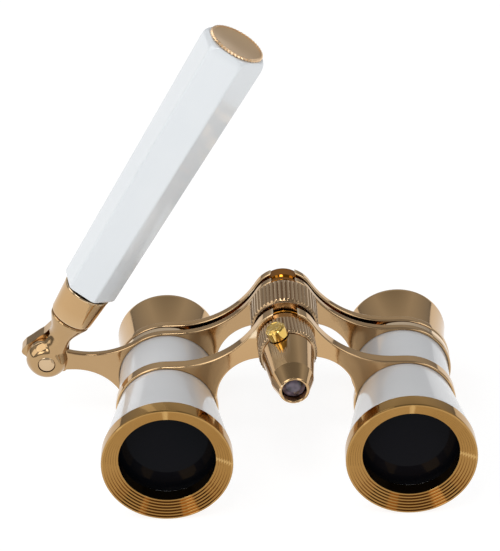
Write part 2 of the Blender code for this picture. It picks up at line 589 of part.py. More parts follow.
def make_handle(hinge, bush_axis, grip_axis):
    upright = (0, 0, 0)
    pin = [(0, FORK_FRONT + 0.1), (PIN_R, FORK_FRONT + 0.1), (PIN_R, FORK_REAR - 0.1), (0, FORK_REAR - 0.1)]
    turned("hinge_pin", pin, "gold", hinge, segments=SMALL_ROUND)
    tenon = SOCKET_R - GAP
    turned("handle_stem", [
        (0, SOCKET_START + GAP), (tenon, SOCKET_START + GAP), (tenon, FORK_TOP + GAP),
        (STEM_R, FORK_TOP + GAP + 0.1), (STEM_R, STEM_END), (0, STEM_END),
    ], "steel", hinge, rotation=upright, segments=SMALL_ROUND)
    sleeve_bore = STEM_R + GAP
    turned("handle_collar", [
        (SLEEVE_LOW_R - 0.4, COLLAR_START), (SLEEVE_LOW_R, COLLAR_START + 0.5),
        (SLEEVE_TOP_R, COLLAR_END - 0.5), (SLEEVE_TOP_R - 0.4, COLLAR_END),
        (sleeve_bore, COLLAR_END), (sleeve_bore, COLLAR_START),
    ], "gold", hinge, rotation=upright, segments=28)
    inside_r = GRIP_BORE_R - GAP
    stop_start, stop_end = STEM_END + GAP, STEM_END + GAP + STOP_LENGTH
    stop = [(0, stop_start), (inside_r, stop_start), (inside_r, stop_end), (0, stop_end)]
    turned("stem_stop", stop, "steel", hinge, rotation=upright, segments=SMALL_ROUND)
    bush = [(inside_r, BUSH_START), (inside_r, BUSH_END), (sleeve_bore, BUSH_END), (sleeve_bore, BUSH_START)]
    turned("grip_slide_bush", bush, "nylon", bush_axis, rotation=upright, segments=SMALL_ROUND)
    rings = [
        hex_ring(GRIP_LOW_R - GRIP_LOW_CHAMFER, GRIP_START),
        hex_ring(GRIP_LOW_R, GRIP_START + GRIP_LOW_CHAMFER),
        hex_ring(GRIP_TOP_R, GRIP_END - GRIP_TOP_CHAMFER),
        hex_ring(GRIP_TOP_R - GRIP_TOP_CHAMFER, GRIP_END),
    ]
    grip = add("handle_grip", ring_loft("handle_grip", rings), "white_lacquer", grip_axis)
    low, high = GRIP_START - 2, GRIP_END + 2
    bore = [(0, low), (GRIP_BORE_R, low), (GRIP_BORE_R, high), (0, high)]
    combine(grip, cutter("grip_bore", turned_mesh("grip_bore", bore, SMALL_ROUND), grip_axis), "DIFFERENCE")
    turned("handle_end_cap", [
        (0, CAP_END), (CAP_R - 0.4, CAP_END), (CAP_R, CAP_END - 0.4), (CAP_R, GRIP_END + GAP),
        (inside_r, GRIP_END + GAP), (inside_r, GRIP_END - CAP_PLUG), (0, GRIP_END - CAP_PLUG),
    ], "gold", grip_axis, rotation=upright, segments=32)


def build():
    root = empty("optical_frame", None, [-value for value in BASE])
    wheel_axis = empty("wheel_axis", root, (0, 0, FOCUS_Z))
    eyepiece = empty("eyepiece_carriage", root, (0, 0, 0))
    eyepiece_axis = empty("focus_screw_axis", eyepiece, (0, 0, FOCUS_Z))
    lamp_yaw = empty("lamp_yaw", root, (0, FRONT_BRIDGE[0], FOCUS_Z), (0, 0, math.radians(LAMP_YAW)))
    lamp_axis = empty("lamp_axis", lamp_yaw, (0, -FRONT_BRIDGE[0], 0))
    button_seat = empty("button_axis", lamp_axis, (0, BUTTON_Y, 0), (0, math.radians(-BUTTON_LEAN), 0))
    hinge = empty("handle_hinge", root, HINGE, (0, LEAN, 0))
    bush_axis = empty("grip_slide_axis", hinge, (0, 0, 0))
    grip_axis = empty("grip_axis", bush_axis, (0, 0, 0))
    bpy.context.view_layer.update()
    make_bridges(root, eyepiece)
    make_optics(root, eyepiece)
    make_focus(wheel_axis, eyepiece_axis)
    make_lamp(lamp_axis, button_seat)
    make_button(button_seat)
    make_fork(hinge)
    make_handle(hinge, bush_axis, grip_axis)


build()
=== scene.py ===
"""Looks of the opera glasses: fine surfaces, materials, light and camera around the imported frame.

Sizes are in millimetres in the glasses' own frame: x to the right, y from the front rims to the
eyecups, z up, with the two optical axes at z = 0.  ORIGIN, read from the frame, places it.
"""
import json
import math

import bmesh
import bpy
from mathutils import Matrix, Vector

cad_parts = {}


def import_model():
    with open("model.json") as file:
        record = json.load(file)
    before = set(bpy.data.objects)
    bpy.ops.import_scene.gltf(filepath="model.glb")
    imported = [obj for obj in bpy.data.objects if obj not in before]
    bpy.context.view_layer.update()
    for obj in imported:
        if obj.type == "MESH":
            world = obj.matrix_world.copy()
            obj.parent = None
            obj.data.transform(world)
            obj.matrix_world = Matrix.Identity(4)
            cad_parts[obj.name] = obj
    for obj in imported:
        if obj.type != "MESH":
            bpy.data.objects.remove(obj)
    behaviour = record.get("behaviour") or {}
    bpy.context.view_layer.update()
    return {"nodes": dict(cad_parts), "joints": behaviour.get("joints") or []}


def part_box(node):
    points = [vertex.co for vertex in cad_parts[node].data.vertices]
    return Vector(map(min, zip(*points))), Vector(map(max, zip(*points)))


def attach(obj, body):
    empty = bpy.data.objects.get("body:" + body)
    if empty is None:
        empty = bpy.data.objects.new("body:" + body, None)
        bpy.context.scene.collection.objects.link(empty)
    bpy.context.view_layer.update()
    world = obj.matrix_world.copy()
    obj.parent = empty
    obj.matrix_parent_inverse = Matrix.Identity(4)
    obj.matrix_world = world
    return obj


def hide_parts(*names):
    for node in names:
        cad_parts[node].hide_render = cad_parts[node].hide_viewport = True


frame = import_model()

MM = 0.001


# ---- places read from the frame -------------------------------------------------------------------
def middle(node):
    low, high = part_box(node)
    return (low + high) / 2


def joint(name):
    return next(item for item in frame["joints"] if item["name"] == name)


LEFT, RIGHT = middle("left_barrel"), middle("right_barrel")
BARREL_X = (RIGHT.x - LEFT.x) / 2 / MM
ORIGIN = Vector(((LEFT.x + RIGHT.x) / 2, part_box("left_objective_bezel")[0].y, LEFT.z))
FOCUS_Z = (joint("focus_turn")["pos_m"][2] - ORIGIN.z) / MM
HINGE = (Vector(joint("handle_fold")["pos_m"]) - ORIGIN) / MM
HANDLE = Vector(joint("grip_extend")["axis"]).normalized()
BUTTON_AXIS = -Vector(joint("lamp_press")["axis"]).normalized()


def span(node):
    """Where a node starts and ends along y, in millimetres."""
    low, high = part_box(node)
    return (low.y - ORIGIN.y) / MM, (high.y - ORIGIN.y) / MM


FRONT_BRIDGE, EYE_BRIDGE = span("front_bridge"), span("eyepiece_bridge")
REAR_PLATE_START, REAR_COLLAR_END = span("rear_bridge")
BEZEL_START, BEZEL_END = span("left_objective_bezel")
BARREL_START, BARREL_END = span("left_barrel")
EYECUP_START, EYECUP_END = span("left_eyecup")
WHEEL_START, WHEEL_END = span("focus_wheel")
HUB_START, HUB_END = span("focus_hub")
NUT_START, NUT_END = span("focus_nut")

# ---- cross sections, in millimetres ---------------------------------------------------------------
BEZEL_R, BEZEL_LIP_R, BEZEL_FLANGE = 16.8, 16.2, 4.2
APERTURE_R, FUNNEL_DEPTH, STEPS, STEP_EDGE = 12.4, 2.33, 6, 0.05
SKIRT_R = 13.7
BARREL_MOUTH_R, BARREL_SEAT_R, BARREL_R, BARREL_BORE_R = 16.5, 12.75, 12.6, 11.5
POCKET_R, POCKET_END = 14.0, 10.6
EYECUP_R, EYECUP_NECK_R, EYECUP_RIM_R, EYE_APERTURE_R = 13.3, 12.3, 12.1, 7.4
EYE_SEAT, EYE_FUNNEL, EYE_POCKET_R, EYE_POCKET = 53.6, 54.9, 9.5, 49.6
# A lens: where it starts and ends along y, and the bulge of its front and rear faces.
OBJECTIVE_LENS, EYE_LENS = (8.2, 9.7, 1.6, 0.4), (51.3, 53.3, -0.6, -0.6)
EYE_LENS_R = 9.2
BOSS_R, BOSS_BORE_R, NOTCH_HALF = 8.3, 6.3, 3.1
COLLAR_R, COLLAR_BORE_R, EYE_BORE_R = 13.4, 12.62, 11.5
REAR_PLATE_END = 42.9
PLATE_EDGE = 0.4
SWEEP_X, ARCH_R, ARCH_X, ARCH_Z = 28.0, 11.9, 6.0, 3.6
EAR_R, EAR_TOP, EAR_BOTTOM, EAR_TOP_X, EAR_BOTTOM_X, EAR_MEET = 5.4, 7.4, 2.8, -50.5, -56.0, 0.89
PIN_R, PIN_HOLE_R = 2.12, 2.3
BALL_R, BALL_FLAT_R, BALL_EDGE = 5.75, 3.2, -47
FORK_FRONT, FORK_REAR, SLOT_FRONT, SLOT_REAR, SLOT_END = -4.5, 4.6, -1.8, 0.4, 7.6
# The rear cheek's right half, across and along the handle: a rounded corner low down, then the side.
SPADE_CORNER, SPADE_CORNER_R, SPADE_BOTTOM = (5.45, -1.7), 1.15, -3.4
SPADE_SIDE = ((6.5, -0.9), (6.3, 0.1), (5.75, 1.2), (4.4, 4.2), (3.8, 5.3), (3.45, 6.4), (3.1, 7.8),
              (2.6, 9.6))
# The neck: height along the handle, half width across it and half width along y.
NECK = ((1.0, 3.4, 4.2), (5.0, 3.5, 4.4), (6.6, 3.25, 4.4), (8.4, 3.15, 4.4), (9.9, 3.7, 4.5),
        (11.4, 4.6, 4.8), (12.8, 5.3, 5.3), (13.3, 5.6, 5.6), (13.75, 5.6, 5.6), (13.9, 5.45, 5.45))
CAST_VOXEL, NECK_ROUNDS, SPADE_ROUNDS = 0.16, 60, 20
WHEEL_R, WHEEL_RIDGES, WHEEL_DEPTH, FLANGE_R = 8.8, 48, 0.36, 8.2
NUT_OUT, HUB_R, SCREW_HOLE_R = 6.3, 6.0, 3.2
LAMP_R, LAMP_RIDGES, LAMP_DEPTH = 7.5, 50, 0.29
LAMP_YAW = 3.3
LAMP_TIP, LAMP_KINK, LAMP_SHOULDER, LAMP_RING_END, LAMP_BORE_R = 0.8, 5.9, 17.1, 24.5, 4.3
LAMP_WINDOW_R, LAMP_WINDOW = 2.9, (2.9, 4.0, 0.9, 0.0)
BUTTON_Y, WELL_R, WELL_FLOOR = 17.0, 2.68, 5.45
# The grip: where it starts and ends along the handle, its radii there, its turn and its corners.
GRIP_START, GRIP_END, GRIP_START_R, GRIP_END_R = 24.1, 104.0, 7.6, 9.0
GRIP_TURN, GRIP_CORNER, GRIP_BORE_R = -18.5, 0.75, 5.6
CAP_TEETH, CAP_MILLED_R, CAP_TOOTH_DEPTH = 46, 6.8, 0.34

# ---- camera and stage, in millimetres and degrees -------------------------------------------------
CAMERA_TARGET = (-8.85, 24.87, 40.54)
CAMERA_DISTANCE, CAMERA_AZIMUTH, CAMERA_ELEVATION, CAMERA_ROLL = 694.9, -0.85, 31.39, 0.97
CAMERA_LENS, SENSOR = 179.5, 36.0
LIGHT_TARGET = (-10, 25, 20)
LIGHT_DISTANCE, TABLE_HALF = 1.0, 6.0    # in metres: each soft box from its target; half the table


def world(x, y, z):
    return ORIGIN + Vector((x, y, z)) * MM


# ---- materials ------------------------------------------------------------------------------------
class Nodes:
    """A small writer of node trees: one material, its shader and the nodes that feed it."""

    def __init__(self, name):
        self.material = bpy.data.materials.new(name)
        self.material.use_nodes = True
        self.tree = self.material.node_tree
        self.shader = self.tree.nodes["Principled BSDF"]
        self.place = self.node("ShaderNodeTexCoord").outputs["Object"]

    def node(self, kind, **values):
        made = self.tree.nodes.new(kind)
        for key, value in values.items():
            setattr(made, key, value)
        return made

    def link(self, source, target):
        self.tree.links.new(source, target)

    def noise(self, scale, detail=3.0, stretch=(1, 1, 1)):
        mapping = self.node("ShaderNodeMapping")
        mapping.inputs["Scale"].default_value = stretch
        self.link(self.place, mapping.inputs["Vector"])
        made = self.node("ShaderNodeTexNoise")
        made.inputs["Scale"].default_value = scale
        made.inputs["Detail"].default_value = detail
        self.link(mapping.outputs["Vector"], made.inputs["Vector"])
        return made.outputs["Fac"]

    def ramp(self, source, stops):
        made = self.node("ShaderNodeValToRGB")
        elements = made.color_ramp.elements
        while len(elements) < len(stops):
            elements.new(0.5)
        for element, (place, colour) in zip(elements, stops):
            element.position = place
            element.color = (*colour, 1.0)
        self.link(source, made.inputs["Fac"])
        return made.outputs["Color"]

    def span(self, source, low, high, start=0.3, end=0.7):
        made = self.node("ShaderNodeMapRange")
        made.inputs["From Min"].default_value = start
        made.inputs["From Max"].default_value = end
        made.inputs["To Min"].default_value = low
        made.inputs["To Max"].default_value = high
        self.link(source, made.inputs["Value"])
        return made.outputs["Result"]

    def edges(self):
        """1 on outer edges, 0 elsewhere."""
        geometry = self.node("ShaderNodeNewGeometry")
        return self.span(geometry.outputs["Pointiness"], 0.0, 1.0, 0.52, 0.58)

    def mix(self, share, first, second):
        made = self.node("ShaderNodeMix", data_type="RGBA")
        self.link(share, made.inputs["Factor"])
        for source, socket in ((first, made.inputs[6]), (second, made.inputs[7])):
            if isinstance(source, tuple):
                socket.default_value = (*source, 1.0)
            else:
                self.link(source, socket)
        return made.outputs[2]

    def add(self, first, second):
        made = self.node("ShaderNodeMath", operation="ADD")
        self.link(first, made.inputs[0])
        self.link(second, made.inputs[1])
        return made.outputs["Value"]

    def bump(self, source, strength, distance):
        made = self.node("ShaderNodeBump")
        made.inputs["Strength"].default_value = strength
        made.inputs["Distance"].default_value = distance
        self.link(source, made.inputs["Height"])
        self.link(made.outputs["Normal"], self.shader.inputs["Normal"])

    def set(self, **values):
        for key, value in values.items():
            self.shader.inputs[key.replace("_", " ")].default_value = value


def polished_metal(name, light, deep, rough_low, rough_high, wear_and_highlight, grain=(1, 1, 1)):
    """Plated metal: a slow drift of tone, fine handling marks, and paler edges that are partly rubbed
    plating and partly a painted highlight.
    """
    made = Nodes(name)
    made.set(Metallic=1.0)
    tone = made.ramp(made.noise(45.0, 2.0), ((0.3, deep), (0.7, light)))
    # Edges take the paler colour: partly rubbed plating, partly a painted highlight line along them.
    made.link(made.mix(made.edges(), tone, wear_and_highlight), made.shader.inputs["Base Color"])
    smudges = made.span(made.noise(120.0, 4.0), rough_low, rough_high)
    marks = made.span(made.noise(2600.0, 2.0, grain), 0.0, (rough_high - rough_low) * 0.6)
    made.link(made.add(smudges, marks), made.shader.inputs["Roughness"])
    made.bump(made.noise(350.0, 2.0, grain), 0.015, 0.0001)
    return made.material


def gloss_white(name, light, shade, roughness, coat, peel):
    """Hard white finish: faint cloudiness and a little orange peel under a clear coat."""
    made = Nodes(name)
    made.set(Coat_Weight=coat, Coat_Roughness=0.03, IOR=1.5)
    tone = made.ramp(made.noise(60.0, 3.0), ((0.3, shade), (0.7, light)))
    made.link(tone, made.shader.inputs["Base Color"])
    made.link(made.span(made.noise(300.0, 4.0), roughness * 0.8, roughness * 1.3),
              made.shader.inputs["Roughness"])
    made.bump(made.noise(450.0, 2.0), peel, 0.0002)
    return made.material


def moulded(name, light, dark, rough_low, rough_high, metallic=0.0, grain_scale=1800.0):
    """A plain inner part: fine grain in tone, roughness and relief."""
    made = Nodes(name)
    made.set(Metallic=metallic)
    grain = made.noise(grain_scale, 3.0)
    made.link(made.ramp(grain, ((0.3, dark), (0.7, light))), made.shader.inputs["Base Color"])
    made.link(made.span(made.noise(150.0, 3.0), rough_low, rough_high), made.shader.inputs["Roughness"])
    made.bump(grain, 0.15, 0.0001)
    return made.material


def glass(name, tint, deep, roughness, transmission, ior=1.52, mottle_scale=35.0):
    """Optical glass: a colour mottled between tint and deep, which is a trace of coating colour on the eye
    lens, painted shade on the objective and painted glints on the diode; and a trace of dust in its
    polish.
    """
    made = Nodes(name)
    made.set(Transmission_Weight=transmission, IOR=ior)
    made.link(made.ramp(made.noise(mottle_scale, 1.0), ((0.35, deep), (0.65, tint))),
              made.shader.inputs["Base Color"])
    made.link(made.span(made.noise(900.0, 4.0), roughness, roughness * 2.5, 0.45, 0.8),
              made.shader.inputs["Roughness"])
    made.bump(made.noise(60.0, 1.0), 0.02, 0.0001)
    return made.material


GOLD = polished_metal("gold_plate", (0.56, 0.365, 0.18), (0.52, 0.33, 0.16), 0.04, 0.09,
                      (0.86, 0.68, 0.46))
# The rear bridge and the knuckle: darker copies of the gold plate, whose darkness is painted shade for the
# dimmer surroundings they mirror. The knuckle has no paler edges (rubbed plating and painted highlight):
# on its cast mesh they become specks.
SHADE_PAINTED_GOLD = polished_metal("gold_with_painted_shade", (0.48, 0.315, 0.16), (0.45, 0.29, 0.145), 0.05, 0.10,
                           (0.78, 0.60, 0.40))
KNUCKLE_GOLD = polished_metal("knuckle_gold", (0.48, 0.315, 0.16), (0.44, 0.285, 0.14), 0.06, 0.12,
                              (0.48, 0.315, 0.16))
# The bezels' gold: a darker copy of the gold plate, whose darkness is painted shade.
SHADED_BEZEL_GOLD = polished_metal("bezel_gold_with_painted_shade", (0.37, 0.20, 0.06), (0.33, 0.17, 0.045), 0.04, 0.09,
                           (0.54, 0.33, 0.12))
# The knurled rims: a darker, rougher copy of the gold plate; the darker colour is painted shade.
RIDGED_GOLD = polished_metal("ridged_gold", (0.42, 0.28, 0.155), (0.38, 0.25, 0.135), 0.10, 0.18,
                             (0.60, 0.43, 0.26))
SATIN_GOLD = polished_metal("satin_gold", (0.82, 0.59, 0.36), (0.76, 0.54, 0.32), 0.26, 0.36,
                            (0.92, 0.68, 0.46), (1, 1, 6))
BRASS = polished_metal("bright_brass", (0.80, 0.54, 0.15), (0.72, 0.46, 0.11), 0.05, 0.10,
                       (0.92, 0.70, 0.30))
# The focus nut and hub: a darker, orange copy of the bright brass; the orange is a painted reflection of
# orange surroundings.
BRASS_PAINTED_ORANGE = polished_metal("brass_with_painted_orange_reflection", (0.32, 0.125, 0.013), (0.27, 0.10, 0.010), 0.05, 0.10,
                             (0.60, 0.30, 0.05))
STEEL = polished_metal("bright_steel", (0.62, 0.62, 0.63), (0.52, 0.52, 0.54), 0.16, 0.26,
                       (0.75, 0.75, 0.76), (1, 1, 8))
LACQUER = gloss_white("white_lacquer", (0.70, 0.705, 0.715), (0.67, 0.68, 0.69), 0.20, 0.5, 0.03)
GRIP_WHITE = gloss_white("white_grip", (0.77, 0.80, 0.82), (0.745, 0.78, 0.805), 0.16, 0.7, 0.025)
BLACK = moulded("black_anodised", (0.014, 0.014, 0.016), (0.006, 0.006, 0.007), 0.4, 0.6)
NYLON = moulded("dark_nylon", (0.12, 0.12, 0.12), (0.08, 0.08, 0.085), 0.45, 0.6)
BOARD = moulded("circuit_board", (0.03, 0.16, 0.07), (0.02, 0.11, 0.05), 0.4, 0.55)
# Opaque and with a low index, so that it looks as dark as a lens in front of a blackened tube: its black
# colour is painted, for the black tube and the shade inside it.
OBJECTIVE_GLASS = glass("objective_glass", (0.005, 0.005, 0.007), (0.003, 0.004, 0.006), 0.02, 0.0, 1.13)
EYE_GLASS = glass("eye_glass", (0.93, 0.95, 0.96), (0.88, 0.92, 0.95), 0.01, 1.0)
# The diode's colour mottles finely between purple and near black: painted glints.
EPOXY = glass("led_epoxy", (0.32, 0.25, 0.33), (0.015, 0.012, 0.015), 0.05, 0.35, mottle_scale=420.0)


# ---- mesh helpers ---------------------------------------------------------------------------------
def arc(centre, radius, start, end, count):
    points = []
    for i in range(count + 1):
        angle = math.radians(start + (end - start) * i / count)
        points.append((centre[0] + radius * math.cos(angle), centre[1] + radius * math.sin(angle)))
    return points


def angle_from(centre, point):
    return math.degrees(math.atan2(point[1] - centre[1], point[0] - centre[0]))


def sweep_radius(run, rise, radius):
    return (run * run + rise * rise - radius * radius) / (2 * (radius - rise))


def soften(profile, radius, closed=False, steps=3):
    """Round each corner of a profile with an arc of at most the given radius."""
    points = [Vector(point) for point in profile]
    count = len(points)
    result = []
    for i, point in enumerate(points):
        if not closed and i in (0, count - 1):
            result.append(tuple(point))
            continue
        before, after = points[i - 1] - point, points[(i + 1) % count] - point
        turn = before.angle(after)
        if turn > math.radians(172) or before.length < 1e-6 or after.length < 1e-6:
            result.append(tuple(point))
            continue
        cut = min(radius / math.tan(turn / 2), before.length * 0.45, after.length * 0.45)
        start, end = point + before.normalized() * cut, point + after.normalized() * cut
        for step in range(steps + 1):
            t = step / steps
            spot = start * (1 - t) ** 2 + point * 2 * t * (1 - t) + end * t ** 2
            result.append(tuple(spot))
    return result


def place_along(at, direction):
    """A frame at a point, in millimetres, whose own z runs along a direction."""
    turn = Vector(direction).to_track_quat("Z", "Y").to_matrix().to_4x4()
    return Matrix.Translation(world(*at)) @ turn @ Matrix.Scale(MM, 4)


def along_y(x, z):
    return place_along((x, 0, z), (0, 1, 0))


def finish_mesh(name, work, material, angle=38):
    bmesh.ops.recalc_face_normals(work, faces=work.faces)
    mesh = bpy.data.meshes.new(name)
    work.to_mesh(mesh)
    work.free()
    mesh.materials.append(material)
    mesh.shade_smooth()
    mesh.set_sharp_from_angle(angle=math.radians(angle))
    obj = bpy.data.objects.new(name, mesh)
    bpy.context.scene.collection.objects.link(obj)
    return obj


def even_normals(obj):
    """Flat faces keep flat shading beside their rounded edges."""
    weighted = obj.modifiers.new("normals", "WEIGHTED_NORMAL")
    weighted.keep_sharp = True
    weighted.weight = 80
    return obj


def lathe(name, profile, matrix, material, segments=128, shape=None, angle=38):
    """A turned piece: (radius, height) points around the frame's own z; ends on the axis are closed.

    shape(radius, turn) changes a point's radius, where turn runs from 0 to 1."""
    work = bmesh.new()
    rings = []
    for radius, height in profile:
        if radius < 1e-6:
            rings.append([work.verts.new(matrix @ Vector((0, 0, height)))])
            continue
        ring = []
        for i in range(segments):
            turn = i / segments
            r = shape(radius, turn) if shape else radius
            spot = Vector((r * math.cos(2 * math.pi * turn), r * math.sin(2 * math.pi * turn), height))
            ring.append(work.verts.new(matrix @ spot))
        rings.append(ring)
    if len(rings[0]) > 1 and len(rings[-1]) > 1:
        rings.append(rings[0])
    for one, two in zip(rings, rings[1:]):
        for i in range(segments):
            j = (i + 1) % segments
            corners = [one[i % len(one)], one[j % len(one)], two[j % len(two)], two[i % len(two)]]
            unique = list(dict.fromkeys(corners))
            if len(unique) > 2:
                work.faces.new(unique)
    return even_normals(finish_mesh(name, work, material, angle))


def ridge(ridges, depth, outer):
    """Straight-cut ridges: no point stands outside the groove's own surface."""
    def shape(radius, turn):
        phase = (turn * ridges) % 1.0
        cut = max(0.0, 1.0 - abs(phase - 0.5) / 0.32)
        return min(radius, outer - depth * min(1.0, cut * 1.15))
    return shape


def show(obj, body, slot, *nodes):
    """The piece moves with its body and stands for its CAD nodes, which it hides; slot is not used."""
    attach(obj, body)
    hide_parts(*nodes)
    return obj


def flat_plate(name, outlines, start, end, bevel, material):
    """A plate across y with rounded edges, from closed outlines: the outside first, then the holes."""
    curve = bpy.data.curves.new(name, "CURVE")
    curve.dimensions = "2D"
    curve.fill_mode = "BOTH"
    curve.extrude = (end - start) / 2 - bevel
    curve.bevel_depth = bevel
    curve.bevel_resolution = 3
    curve.offset = -bevel
    for outline in outlines:
        spline = curve.splines.new("POLY")
        spline.points.add(len(outline) - 1)
        for point, (x, z) in zip(spline.points, outline):
            point.co = (x, z, 0, 1)
        spline.use_cyclic_u = True
    holder = bpy.data.objects.new(name, curve)
    bpy.context.scene.collection.objects.link(holder)
    mesh = bpy.data.meshes.new_from_object(holder.evaluated_get(bpy.context.evaluated_depsgraph_get()))
    bpy.data.objects.remove(holder)
    upright = Matrix.Rotation(math.radians(90), 4, "X")
    mesh.transform(Matrix.Translation(world(0, (start + end) / 2, 0)) @ Matrix.Scale(MM, 4) @ upright)
    work = bmesh.new()
    work.from_mesh(mesh)
    bmesh.ops.remove_doubles(work, verts=work.verts, dist=0.000004)
    return even_normals(finish_mesh(name, work, material, 50))


# ---- bridges --------------------------------------------------------------------------------------
def bridge_side():
    boss = (0, FOCUS_Z)
    radius = sweep_radius(SWEEP_X, COLLAR_R - FOCUS_Z, BOSS_R)
    sweep = (SWEEP_X, COLLAR_R + radius)
    touch = angle_from(boss, sweep)
    lip = math.degrees(math.acos(NOTCH_HALF / BOSS_R))
    arch_join = 180 - math.degrees(math.asin(ARCH_Z / COLLAR_R))
    arch_top = (ARCH_X, ARCH_Z + ARCH_R)
    points = arc(boss, BOSS_R, lip, touch, 12)
    points += arc(sweep, radius, touch + 180, 270, 28)[1:]
    points += arc((BARREL_X, 0), COLLAR_R, 90, arch_join - 360, 90)
    points += arc((ARCH_X, ARCH_Z), ARCH_R, 0, 90, 24)[1:]
    points += arc(boss, BOSS_R, angle_from(boss, arch_top), -90, 10)[1:]
    return points


def ear_outline():
    collar = (-BARREL_X, 0)
    top_radius = sweep_radius(-BARREL_X - EAR_TOP_X, EAR_TOP, COLLAR_R)
    top_centre = (EAR_TOP_X, EAR_TOP + top_radius)
    low_radius = sweep_radius(-BARREL_X - EAR_BOTTOM_X, -EAR_BOTTOM, COLLAR_R)
    low_centre = (EAR_BOTTOM_X, EAR_BOTTOM - low_radius)
    eye = (HINGE.x, HINGE.z)
    meet_x = eye[0] + EAR_R * EAR_MEET
    meet = (meet_x, top_centre[1] - math.sqrt(top_radius ** 2 - (meet_x - top_centre[0]) ** 2))
    low_meet = (eye[0] + math.sqrt(EAR_R ** 2 - (eye[1] - EAR_BOTTOM) ** 2), EAR_BOTTOM)
    points = arc(collar, COLLAR_R, 90, angle_from(collar, top_centre), 12)
    points += arc(top_centre, top_radius, angle_from(top_centre, collar),
                  angle_from(top_centre, meet), 20)[1:]
    points += arc(eye, EAR_R, angle_from(eye, meet), 360 + angle_from(eye, low_meet), 48)[1:]
    points += arc(low_centre, low_radius, 90, angle_from(low_centre, collar), 16)
    arch_join = math.degrees(math.asin(ARCH_Z / COLLAR_R))
    points += arc(collar, COLLAR_R, angle_from(collar, low_centre) + 360, arch_join + 360, 46)[1:]
    return points


def bridge_outline(with_ear):
    side = bridge_side()
    left = [(-x, z) for x, z in side]
    if with_ear:
        top = min(range(len(left)), key=lambda i: abs(left[i][0] + BARREL_X) + abs(left[i][1] - COLLAR_R))
        joins = [i for i, p in enumerate(left) if abs(p[1] - ARCH_Z) < 0.01 and p[0] > -BARREL_X]
        left = left[:top] + ear_outline() + left[joins[0] + 1:]
    lip_bore = math.degrees(math.acos(NOTCH_HALF / BOSS_BORE_R))
    bore = arc((0, FOCUS_Z), BOSS_BORE_R, 180 - lip_bore, 360 + lip_bore, 64)
    return side + left[::-1][1:] + bore


def circle(x, z, radius, count=120):
    return arc((x, z), radius, 0, 360, count)[:-1]


def make_bridges():
    bores = [circle(side * BARREL_X, 0, COLLAR_BORE_R) for side in (-1, 1)]
    eye_bores = [circle(side * BARREL_X, 0, EYE_BORE_R) for side in (-1, 1)]
    pin_hole = circle(HINGE.x, HINGE.z, PIN_HOLE_R, 48)
    rear = (REAR_PLATE_START, REAR_PLATE_END)
    plates = (
        ("front_bridge", [bridge_outline(False)] + bores, FRONT_BRIDGE, "frame", GOLD),
        ("rear_bridge", [bridge_outline(True)] + bores + [pin_hole], rear, "frame", SHADE_PAINTED_GOLD),
        ("eyepiece_bridge", [bridge_outline(False)] + eye_bores, EYE_BRIDGE, "eyepieces", GOLD),
    )
    for node, outlines, (start, end), body, material in plates:
        show(flat_plate(node + "_plate", outlines, start, end, PLATE_EDGE, material), body, "gold", node)
    outer, middle_y = COLLAR_R - 0.1, sum(rear) / 2
    collar = [(outer, middle_y), (outer, REAR_COLLAR_END - 0.15), (outer - 0.15, REAR_COLLAR_END),
              (COLLAR_BORE_R, REAR_COLLAR_END), (COLLAR_BORE_R, middle_y)]
    for side, x in (("left", -BARREL_X), ("right", BARREL_X)):
        show(lathe(side + "_rear_collar", collar, along_y(x, 0), SHADE_PAINTED_GOLD, 160), "frame", "gold",
             "rear_bridge")


# ---- barrels and optics ---------------------------------------------------------------------------
def barrel_profile():
    """A straight cone from the bezel to the front bridge, then a plain tube to the rear collar."""
    seat = FRONT_BRIDGE[0] - 0.05
    cone = [(BARREL_MOUTH_R - 0.15, BARREL_START), (BARREL_MOUTH_R, BARREL_START + 0.15),
            (BARREL_SEAT_R, seat)]
    rear = [(BARREL_R, seat + 0.1), (BARREL_R, BARREL_END - 0.1), (BARREL_R - 0.1, BARREL_END)]
    inner = [(BARREL_BORE_R, BARREL_END), (BARREL_BORE_R, POCKET_END), (POCKET_R, POCKET_END - 0.6),
             (POCKET_R, BARREL_START)]
    return cone + rear + inner


def bezel_profile():
    """Rolled rim, a staircase of flat rings down to the aperture, and the lens seat."""
    pitch, rise = (BEZEL_LIP_R - APERTURE_R) / STEPS, FUNNEL_DEPTH / STEPS
    stairs = [(BEZEL_R - 0.4, BEZEL_START)]
    for i in range(STEPS):
        radius, y = BEZEL_LIP_R - pitch * i, BEZEL_START + rise * i
        stairs += [(radius + STEP_EDGE, y), (radius, y + STEP_EDGE), (radius, y + rise)]
    stairs += [(APERTURE_R + STEP_EDGE, BEZEL_START + FUNNEL_DEPTH),
               (APERTURE_R, BEZEL_START + FUNNEL_DEPTH + STEP_EDGE)]
    flange = BEZEL_START + BEZEL_FLANGE
    outside = [(APERTURE_R, BEZEL_END), (SKIRT_R, BEZEL_END), (SKIRT_R, flange), (BEZEL_R - 0.3, flange),
               (BEZEL_R, flange - 0.3), (BEZEL_R, BEZEL_START + 0.4), (BEZEL_R - 0.12, BEZEL_START + 0.12)]
    return stairs + outside


